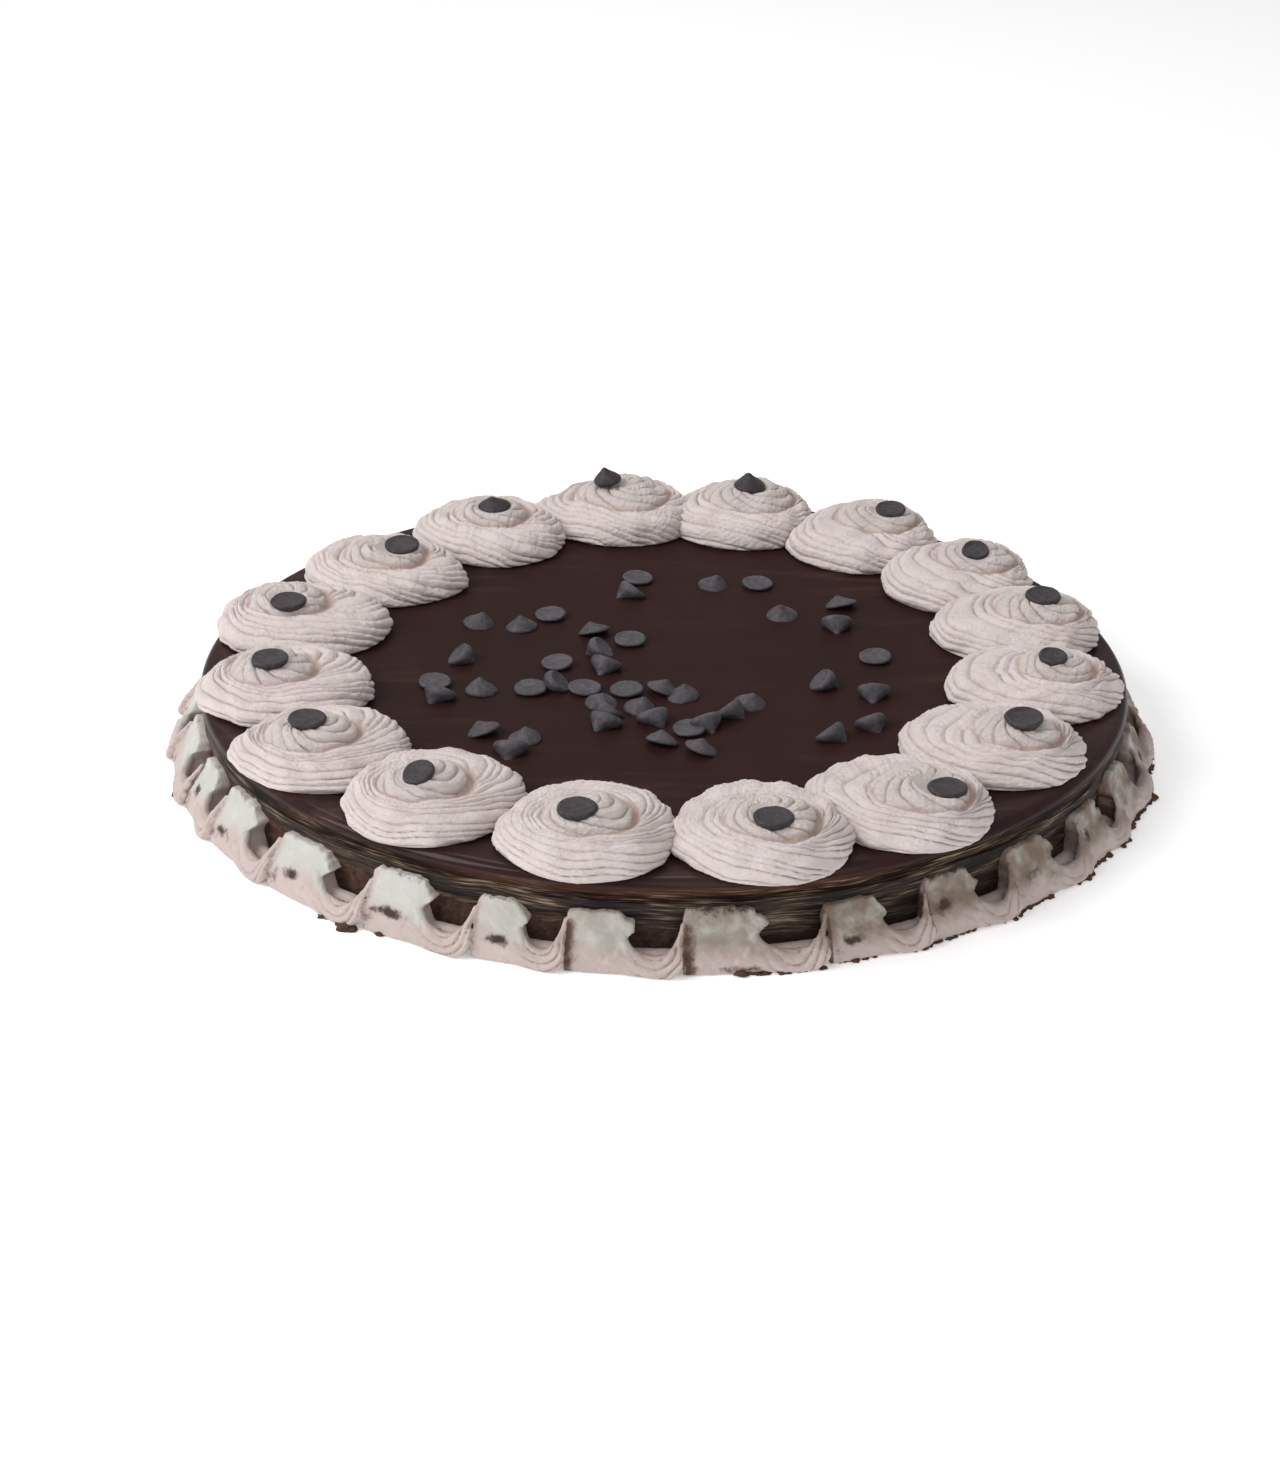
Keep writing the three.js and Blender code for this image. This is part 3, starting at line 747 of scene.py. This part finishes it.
def make_rosette(dough, spec, seed):
    """A ball of cream, pressed to the rosette's section and drawn into strands."""
    rosette = copy_of(dough)
    rosette.name = f"piped_rosette_{seed + 1:02d}"
    ball = places_of(rosette)
    around = np.arctan2(ball[:, 1], ball[:, 0])
    down = np.arccos(np.clip(ball[:, 2], -1, 1)) / math.pi
    under = np.clip((down - FOOT_ROUNDS) / (1 - FOOT_ROUNDS), 0, 1)

    along, *rows = rosette_profile()
    foot = along[-1]
    crease = along[np.argmax(rows[0] > 0.5)]
    at = np.minimum(down / FOOT_ROUNDS, 1) * foot
    share, high, out, up = (np.interp(at, along, row) for row in rows)

    fan_start = math.radians(spec["start"] - spec["angle"]) - FAN / 2
    turned = (around - fan_start) % TURN
    ox, oy = np.cos(around), np.sin(around)
    mound, oval = rosette_outlines(spec, around, turned, seed)
    outer = np.clip((share - 0.5) / 0.5, 0, 1)
    inner = np.minimum(share, 0.5) / 0.5
    r = inner * (mound + outer * (oval - mound))
    shift = spec["top"] * (1 - smooth_all(outer, 0, 0.8))
    x, y = r * ox, r * oy

    near_start = 0.5 + 0.5 * np.cos(turned - 0.7 * FAN)
    dip = np.exp(-(((at - crease) / 0.9) ** 2)) * (0.15 + 1.15 * near_start**2)
    bend = 0.34 * ripples(x, y, 20, seed + 60) + 0.07 * ripples(x, y, 6, seed + 90)
    in_fan = smooth_all(turned, 0, 0.5) * (1 - smooth_all(turned, FAN - 0.5, FAN + 0.5))
    on_coil = smooth_all(at, crease - 0.3, crease + 1 + 2.5 * in_fan)
    on_mound = 1 - smooth_all(at, crease - 1, crease + 0.3)
    pitch = spec.get("pitch", STRAND_PITCH)
    coil_phase = uneven_widths((foot - at) / pitch + spiral(turned) + bend, seed)
    ruffled = 5 if spec["folds"] > 8 else 3.6
    mound_phase = (crease - at) / ruffled + spec["folds"] * around / TURN + 0.8 * bend
    uneven = 1 + 0.3 * ripples(x, y, 14, seed + 120)
    near_crease = np.exp(-(((at - crease) / 4.5) ** 2))
    coil_depth = STRAND_DEPTH * pitch**2 * (0.85 + 0.4 * near_crease) * (1 + 0.2 * in_fan) * uneven
    mound_depth = 1.35 * uneven * smooth_all(at, 0.5, 5)
    coil_crest = strand(coil_phase)
    mound_crest = strand(mound_phase)
    relief = on_coil * coil_depth * (coil_crest - 0.75) + on_mound * mound_depth * (mound_crest - 0.75)
    relief += 0.2 * (strand(3 * coil_phase + 0.4 * bend) - 0.7) * on_coil * (1 - 0.6 * in_fan)
    relief += 0.12 * (strand(3 * mound_phase) - 0.7) * on_mound
    lumps = ripples(x + at, y - 0.8 * at, 1.2, seed + 150)
    relief += 0.15 * lumps + 0.45 * ripples(x + 0.6 * at, y, 7, seed + 180) - dip
    relief *= (1 - smooth_all(under, 0, 0.2)) * smooth_all(high, -0.2, 0.7)
    push = np.where(under > 0, r * (1 - under), r + relief * out)
    z = np.where(under > 0, 0, np.maximum(0, high + relief * up * smooth_all(high, 0, 2)))
    put_places(rosette, np.stack([shift * (1 - under) + push * ox, push * oy, z], -1))
    crest = on_coil * coil_crest + on_mound * mound_crest
    # the groove mask, where the material paints shade: between the strands and, more faintly, in the crease
    # round the top coil
    paint(rosette, "groove", np.clip(1 - crest + 0.25 * dip, 0, 1))
    paint(rosette, "grey", on_mound)
    return rosette


SEAT_DEPTH = 0.9  # of a chip's face in the cream
SEAT_WIDE = 19
FACE_RISE, TIP_RISE = 1.9, 0.9  # a chip's height over the mound, with its face up and with its tip up


def rosette_chip_place(spec):
    out, along, lean, towards = spec["chip"]
    surface = MOUND_TALL - MOUND_FALL * (out**2 + along**2)
    rise = (TIP_RISE if "tip_up" in spec else FACE_RISE) + spec.get("raised", 0)
    place = Matrix.Translation(Vector((spec["top"] + out, along, surface + rise)) * MM)
    place = place @ Matrix.Rotation(math.radians(towards - spec["angle"]), 4, "Z")
    return place @ Matrix.Rotation(math.radians(lean) + (0 if "tip_up" in spec else math.pi), 4, "Y")


def press_seat(rosette, spec):
    """Presses the cream under a rosette's chip, so that the chip lies in a shallow seat."""
    place = rosette_chip_place(spec)
    turn = np.array(place.to_3x3())
    origin = np.array(place.translation) / MM
    local = (places_of(rosette) - origin) @ turn
    beyond = np.maximum(0, np.hypot(local[:, 0], local[:, 1]) - CHIP_WIDE / 2)
    near = beyond < (SEAT_WIDE - CHIP_WIDE) / 2
    z = local[:, 2]
    if "tip_up" in spec:
        local[:, 2] = np.where(near & (z > -4), np.minimum(z, 0.4 + 0.35 * beyond), z)
    else:
        local[:, 2] = np.where(near & (z < 4), np.maximum(z, SEAT_DEPTH - 0.55 * beyond), z)
    put_places(rosette, local @ turn.T + origin)


def chip_on_rosette(model, spec, seed):
    wide = 1.04 * spec.get("size", 1)
    size = Matrix.Diagonal((wide, wide, spec.get("tall", 1), 1))
    chip = chip_copy(model, rosette_frame(spec) @ rosette_chip_place(spec) @ size, 50 + seed)
    chip.name = f"rosette_chip_{seed + 1:02d}"
    return chip


# ---- The piped border round the foot ----
def tab_starts():
    """The angle in degrees at which each tab starts, and once more that of the first."""
    first, last = FRONT_TABS[0], FRONT_TABS[-1]
    steps = BACK_TABS + 1
    return FRONT_TABS + [mix(last, first + 360, (i + 1) / steps) for i in range(steps)]


TAB_STARTS = tab_starts()
BORDER_UNITS = len(TAB_STARTS) - 1

# A tab's outline along the side and up, as (share of a unit, height).
TAB_OUTLINE = [
    (-0.01, 0.3), (-0.01, 13.7), (0.03, 14.3), (0.2, 14.4), (0.42, 14.5), (0.49, 13.6), (0.52, 12.2),
    (0.57, 11.2), (0.585, 10.2), (0.52, 8.8), (0.48, 7), (0.52, 5), (0.6, 0.3),
]
# The ridges of a loop, from the upper one to the lower one: how thick it is at its foot and at its
# end, and its points, each a share of a unit, a height and a distance out.
LOOPS = [
    (1.4, 0.55, [(0.46, 8.6, 3.8), (0.52, 6.2, 5), (0.62, 4.3, 5.8), (0.75, 3.6, 6), (0.86, 4.4, 6),
                 (0.93, 7.2, 5.4), (0.965, 9.6, 4.2), (0.985, 12, 2.9)]),
    (1.3, 1, [(0.42, 5.2, 5.8), (0.56, 3.4, 6.5), (0.7, 2.1, 6.9), (0.84, 2.2, 7.1), (0.93, 4.2, 6.7),
              (0.97, 7.2, 5.6)]),
    (1.3, 1.2, [(0.35, 3.2, 5.9), (0.5, 2, 6.6), (0.7, 1.1, 7.2), (0.86, 1.1, 7.5), (0.94, 2.6, 7.4),
                (0.98, 4.8, 6.5)]),
    (2, 2.2, [(0.76, 1.9, 6), (0.85, 2, 6.3), (0.92, 2.2, 6.3)]),
]


def border_long(unit):
    """A unit's length along the border."""
    return math.radians(TAB_STARTS[unit + 1] - TAB_STARTS[unit]) * (SIDE_RADIUS + 6)


def reach(angle):
    """How much further out the border stands at an angle in radians: most at the left, then the right."""
    return 1 + 0.3 * math.cos(angle) ** 2 - 0.08 * math.cos(angle)


def on_side(share, out, height, unit):
    """A point of a unit, wrapped round the cake."""
    a = math.radians(mix(TAB_STARTS[unit], TAB_STARTS[unit + 1], share))
    r = SIDE_RADIUS + out * reach(a)
    return r * math.cos(a), r * math.sin(a), height


FACE_SLANT = (1.5, TAB_TALL + 0.6)  # from which height to which one a tab's flat face leans back
FACE_OUT = (7, 2)  # how far it stands out at each


def make_tab(unit):
    """A tab: its outline filled, drawn out from the side and its face pressed to a slant."""
    bpy.ops.object.select_all(action="DESELECT")
    steps = 5
    tall = 1 + 0.06 * math.sin(GOLDEN_ANGLE * unit)
    rim = []
    for (s0, z0), (s1, z1) in zip(TAB_OUTLINE, TAB_OUTLINE[1:] + TAB_OUTLINE[:1]):
        for i in range(steps):
            s, z = mix(s0, s1, i / steps), mix(z0, z1, i / steps)
            ragged = 1.1 * wobble(s * 17, z * 0.7, unit) * smooth(z, 4, 9)
            rim.append((s + ragged / border_long(unit), z * mix(1, tall, smooth(z, 4, 10)) + ragged))
    mesh = bpy.data.meshes.new("tab")
    back = [on_side(s, -0.2, z, unit) for s, z in rim]
    front = [on_side(s, mix(*FACE_OUT, smooth(z, *FACE_SLANT)), z, unit) for s, z in rim]
    count = len(rim)
    faces = [tuple(range(count)), tuple(range(2 * count - 1, count - 1, -1))]
    faces += [(i, (i + 1) % count, count + (i + 1) % count, count + i) for i in range(count)]
    mesh.from_pydata([Vector(p) * MM for p in back + front], [], faces)
    tab = placed("tab", mesh)
    hold(tab)
    bpy.ops.object.mode_set(mode="EDIT")
    bpy.ops.mesh.select_all(action="SELECT")
    bpy.ops.mesh.quads_convert_to_tris()
    bpy.ops.mesh.normals_make_consistent(inside=False)
    bpy.ops.object.mode_set(mode="OBJECT")
    return tab


def strand_curve(name, strands):
    """Round strands of cream, each a list of points with a radius, as one mesh."""
    curve = bpy.data.curves.new(name, "CURVE")
    curve.dimensions = "3D"
    curve.bevel_depth = MM
    curve.bevel_resolution = 3
    curve.use_fill_caps = True
    for points in strands:
        spline = curve.splines.new("POLY")
        spline.points.add(len(points) - 1)
        for point, (x, y, z, radius) in zip(spline.points, points):
            point.co = (x * MM, y * MM, z * MM, 1)
            point.radius = radius
    hold(placed(name, curve))
    bpy.ops.object.convert(target="MESH")
    return bpy.context.object


LOOP_STEPS = 8  # between two points of a loop
FOOT_STEPS = 12


def curve_through(before, a, b, after, t):
    """The point a share of the way from a to b, on a smooth curve through four points."""
    def blend(p, q, r, s):
        return q + 0.5 * t * (r - p + t * (2 * p - 5 * q + 4 * r - s + t * (3 * (q - r) + s - p)))

    return tuple(blend(*coordinates) for coordinates in zip(before, a, b, after))


def loop_strands(unit):
    """The ridges of a unit's loop, and two strands along the foot behind them."""
    strands = []
    for ridge, (thick, thin, points) in enumerate(LOOPS):
        last = len(points) - 1
        drawn = []
        for i in range(last * LOOP_STEPS + 1):
            k = min(i // LOOP_STEPS, last - 1)
            t = i / LOOP_STEPS - k
            share, height, out = curve_through(*(points[min(max(k + j, 0), last)] for j in (-1, 0, 1, 2)), t)
            radius = mix(thick, thin, smooth(i / (last * LOOP_STEPS), 0.4, 1))
            height += 0.35 * wobble(share * 4, unit, ridge) * smooth(height, 1, 4)
            drawn.append((*on_side(share, out, height, unit), radius))
        strands.append(drawn)
    for out, height, radius in ((3.4, 1.9, 1.8), (1.6, 2.2, 2.2)):
        steps = range(FOOT_STEPS + 1)
        strands.append([(*on_side(i / FOOT_STEPS, out, height, unit), radius) for i in steps])
    return strands


BORDER_VOXEL = 0.42
BORDER_ARCS = 3


def make_border(arc_number):
    """One arc of the border, of several whole units."""
    each = BORDER_UNITS // BORDER_ARCS
    units = range(arc_number * each, (arc_number + 1) * each)
    parts = [make_tab(unit) for unit in units]
    parts.append(strand_curve("loops", [drawn for unit in units for drawn in loop_strands(unit)]))
    border = joined(parts, f"piped_border_{arc_number + 1}")
    finish_with(border, "REMESH", mode="VOXEL", voxel_size=BORDER_VOXEL * MM)
    finish_with(border, "SMOOTH", factor=0.5, iterations=1)
    draw_loops(border)
    paint_border(border)
    return border


DARK_CREVICES = [5, 6, 7, 10]  # the units whose left edge has the darkest painted shade and brown smear, the widest first
BROWN_TOPS = [6, 8]  # the units whose tab is brown along its top
# The stain on each front tab's face: a share of the unit, a height, its half length and half height,
# and how dark it is. The tabs of the back take the same ones in turn.
TAB_STAINS = [
    (0.2, 7, 0.12, 2, 1), (0.15, 5, 0.12, 2, 1), (0.2, 5.6, 0.12, 1.8, 1.1), (0.2, 6.2, 0.2, 1.6, 1.1),
    (0.26, 5.6, 0.15, 1.5, 1.1), (0.3, 5, 0.1, 1.5, 0.3), (0.35, 1.5, 0.2, 1.5, 0.8),
    (0.22, 5.4, 0.13, 1.6, 1), (0.15, 8, 0.13, 2, 1), (0.25, 7.5, 0.15, 1.6, 0.8), (0.1, 8, 0.1, 2, 0.9),
    (0.2, 6, 0.12, 1.8, 0.6),
]
GAP_CENTRE = (0.755, 8.8)  # of the opening over a loop: share of a unit, and height
GAP_RADIUS = 4.4
LOOP_PITCH = 2.1


def loop_lines(places):
    """The lines that run round each opening: 1 on a ridge, 0 in a groove, and where they show."""
    unit, share, out, z = unit_places(places)
    long = np.array([border_long(u) for u in range(BORDER_UNITS)])[unit]
    right = (share - GAP_CENTRE[0]) * long
    right = np.where(right > 0, 1.35 * right, 0.95 * right)
    away = np.hypot(right, z - GAP_CENTRE[1]) + 0.5 * ripples(unit * 9 + share * 8, z, 6, 3)
    shown = smooth_all(out, 3.5, 5) * smooth_all(share, 0.45, 0.66) * (1 - smooth_all(z, 8, 12))
    return strand((away - GAP_RADIUS) / LOOP_PITCH), shown


def draw_loops(border):
    places = places_of(border)
    lines, shown = loop_lines(places)
    out = np.hypot(places[:, 0], places[:, 1])
    grain = ripples(places[:, 0] + places[:, 2], places[:, 1], 1.5, 5)
    push = 1 + (1.2 * (lines - 0.8) * shown + 0.08 * grain) / out
    places[:, 0] *= push
    places[:, 1] *= push
    places[:, 2] = np.maximum(0, places[:, 2])
    put_places(border, places)
    # the groove mask, where the material paints shade between the loops' ridges
    paint(border, "groove", (1 - lines) * shown)


def unit_places(places):
    """For points round the border: the unit, the share of it, how far out and how high."""
    angle = np.degrees(np.arctan2(places[:, 1], places[:, 0]))
    angle = TAB_STARTS[0] + (angle - TAB_STARTS[0]) % 360
    unit = np.clip(np.searchsorted(TAB_STARTS, angle, "right") - 1, 0, BORDER_UNITS - 1)
    starts = np.array(TAB_STARTS)
    share = (angle - starts[unit]) / (starts[unit + 1] - starts[unit])
    out = np.hypot(places[:, 0], places[:, 1]) - SIDE_RADIUS
    return unit, share, out, places[:, 2]


def paint_border(border):
    """Marks the pressed tab faces, where they are stained, and where shade is painted, for the material."""
    unit, share, out, z = unit_places(places_of(border))
    along = smooth_all(share, 0.02, 0.05) * (1 - smooth_all(share, 0.56, 0.62))
    face = mix(*FACE_OUT, smooth_all(z, *FACE_SLANT))
    on_face = smooth_all(out, face - 1.2, face - 0.5)
    paint(border, "pressed", on_face * along * smooth_all(z + np.sin(9 * share + unit), 5, 8.5))
    middle, low, long, tall, dark = np.resize(TAB_STAINS, (BORDER_UNITS, 5))[unit].T
    patch = dark * np.exp(-(((share - middle) / long) ** 2) - ((z - low) / tall) ** 2)
    low_corner = np.exp(-(((share - 0.05) / 0.08) ** 2) - ((z - 3.5) / 3) ** 2)
    top_edge = smooth_all(z, 12, 15) * along * np.where(np.isin(unit, BROWN_TOPS), 0.75, 0.45)
    paint(border, "stain", np.maximum.reduce([patch * on_face, 0.5 * low_corner, top_edge]))
    # partly smear, partly painted shade: browner towards the right (+X), away from the key light
    smeared = smooth_all(np.cos(np.radians(np.array(TAB_STARTS)[unit] + 10)), -0.45, 0.5)
    paint(border, "smeared", smeared * smooth_all(z, 2, 8))
    # painted shade with some real brown smear along the crevices at each tab's edges, widest at some units
    width = np.where(np.isin(unit, DARK_CREVICES[:2]), 0.075, 0.018)
    in_crevice = np.exp(-(((share - 0.005) / width) ** 2)) + np.exp(-(((share - 0.99) / 0.012) ** 2))
    darkest = 0.35 + 0.65 * np.isin(unit, DARK_CREVICES)
    paint(border, "crevice", in_crevice * (1 - smooth_all(z, 10, 14)) * darkest)


# ---- Crumbs at the foot ----
SMALLEST_CRUMB = 0.35
# Groups of them: where round the cake, over how many degrees, how many, and the largest's half width.
CRUMB_GROUPS = [
    (-128.5, 1.2, 6, 1.1), (-124.5, 1.8, 9, 2.2), (-121.5, 1, 5, 1.2), (-78, 4, 26, 1.4),
    (-70, 3, 12, 1.1), (-58, 5, 40, 1.2), (-46, 5, 48, 1.3), (-34, 6, 60, 1.5), (-22, 6, 70, 1.6),
    (-9, 6, 50, 1.5), (4, 5, 24, 1.3), (-163, 3, 8, 1), (60, 5, 14, 1.3), (140, 6, 16, 1.3),
]
# The border's foot over a unit: a share of the unit, and how far out the cream reaches.
BORDER_FOOT = [(0, 7.1), (0.35, 7), (0.5, 7.7), (0.7, 8.3), (0.86, 8.7), (0.95, 8.5), (1, 7.1)]


def border_foot(angle):
    """How far from the middle the border's foot reaches at an angle in degrees."""
    around = math.radians(angle)
    share = unit_places(np.array([[math.cos(around), math.sin(around), 0]]))[1][0]
    shares, outs = zip(*BORDER_FOOT)
    return SIDE_RADIUS + np.interp(share, shares, outs) * reach(around)


def make_crumbs():
    crumbs = []
    bpy.ops.object.select_all(action="DESELECT")
    bpy.ops.mesh.primitive_ico_sphere_add(subdivisions=2, radius=1)
    model = bpy.context.object
    for middle, spread, count, largest in CRUMB_GROUPS:
        for _ in range(count):
            nth = len(crumbs)
            angle = middle + spread * wobble(nth * 3.1, seed=7) * 1.9
            larger = (largest - SMALLEST_CRUMB) * abs(wobble(nth * 1.7, seed=6)) * 1.7
            size = SMALLEST_CRUMB + larger
            r = border_foot(angle) - 0.8 + 0.9 * wobble(nth * 2.3, seed=8)
            crumb = copy_of(model)

            def rough(x, y, z, size=size, nth=nth):
                push = 1 + 0.75 * wobble(x * 1.6 * MM, y * 1.6 * MM, z * 1.6 * MM, seed=nth)
                place = Vector((x * 1.25, y, 0.6 * z)) * size * push * MM
                return place.x, place.y, max(place.z, -0.2 * size)

            reshape(crumb, rough)
            around = math.radians(angle)
            place = Vector((r * math.cos(around), r * math.sin(around), 0.2 * size))
            turn = Matrix.Rotation(GOLDEN_ANGLE * nth, 4, "Z")
            crumb.data.transform(Matrix.Translation(place * MM) @ turn)
            crumbs.append(crumb)
    bpy.data.objects.remove(model)
    return joined(crumbs, "loose_crumbs")


# ---- Building ----
def build_cake():
    glaze_finish = glaze_material()
    cream = cream_material()
    scattered = chip_material("bloomed_chocolate", (0.044, 0.038, 0.044), (0.107, 0.096, 0.112))
    chocolate = chip_material("dark_chocolate", (0.026, 0.0205, 0.0235), (0.068, 0.056, 0.064))
    serve(make_coat(), coat_material(), "coat", "cake")
    serve(make_glaze(), glaze_finish, "glaze", "glaze")
    model = make_chip()
    serve(make_scattered_chips(model), scattered, "chip", "glaze")
    dough = make_ball()
    for seed, spec in enumerate(ROSETTES):
        rosette = make_rosette(dough, spec, seed)
        press_seat(rosette, spec)
        rosette.data.transform(rosette_frame(spec))
        serve(rosette, cream, "cream", f"rosette_{seed + 1:02d}")
        serve(chip_on_rosette(model, spec, seed), chocolate, "chip", f"chip_{seed + 1:02d}")
    bpy.data.objects.remove(model)
    bpy.data.objects.remove(dough)
    border_finish = border_material()
    for number in range(BORDER_ARCS):
        serve(make_border(number), border_finish, "cream", "border")
    serve(make_crumbs(), crumb_material(), "coat")


# ---- The studio ----
FRAME_LONG = 1472  # the picture's longer side, in pixels
FOCAL = 2860  # in pixels
CENTRE_RIGHT = 23.5  # the lens looks this far right of the picture's middle, in pixels
SENSOR = 36
CAMERA_AWAY = 787.4
CAMERA_UP = math.radians(25.6)
CAMERA_ROLL = math.radians(0.72)
WHITE = (1, 1, 1, 1)
PAPER = (0.95, 0.95, 0.95, 1)


def make_camera():
    camera = placed("camera", bpy.data.cameras.new("camera"))
    camera.data.sensor_width = SENSOR
    camera.data.lens = FOCAL * SENSOR / FRAME_LONG
    camera.data.shift_x = -CENTRE_RIGHT / FRAME_LONG
    camera.data.clip_start = 0.05
    camera.location = Vector((0, -math.cos(CAMERA_UP), math.sin(CAMERA_UP))) * CAMERA_AWAY * MM
    level = Matrix.Rotation(math.pi / 2 - CAMERA_UP, 4, "X")
    camera.rotation_euler = (level @ Matrix.Rotation(CAMERA_ROLL, 4, "Z")).to_euler()
    bpy.context.scene.camera = camera


def make_light(name, place, size, power):
    light = placed(name, bpy.data.lights.new(name, "AREA"))
    light.data.shape = "SQUARE"
    light.data.size = size
    light.data.energy = power
    light.location = place
    light.rotation_euler = (-Vector(place)).to_track_quat("-Z", "Y").to_euler()


def make_studio():
    bpy.ops.object.select_all(action="DESELECT")
    bpy.ops.mesh.primitive_circle_add(vertices=96, radius=6, fill_type="NGON", location=(0, 0, -0.05 * MM))
    floor = bpy.context.object
    floor.name = "floor"
    paper = Finish("pale_paper", 0.9, specular=0.1, Base_Color=PAPER, Emission_Color=WHITE,
                   Emission_Strength=0.25)
    floor.data.materials.append(paper.material)
    make_light("key", (-1.0, -0.4, 0.9), 0.9, 14)
    make_light("fill", (0.5, -1.1, 1.0), 1.2, 5)
    make_light("back", (-0.2, 0.9, 1.3), 0.9, 5)
    world = bpy.data.worlds.new("soft_room")
    world.use_nodes = True
    background = world.node_tree.nodes["Background"]
    background.inputs["Color"].default_value = WHITE
    background.inputs["Strength"].default_value = 0.38
    bpy.context.scene.world = world
    bpy.context.scene.view_settings.view_transform = "Standard"
    make_camera()


build_cake()
make_studio()
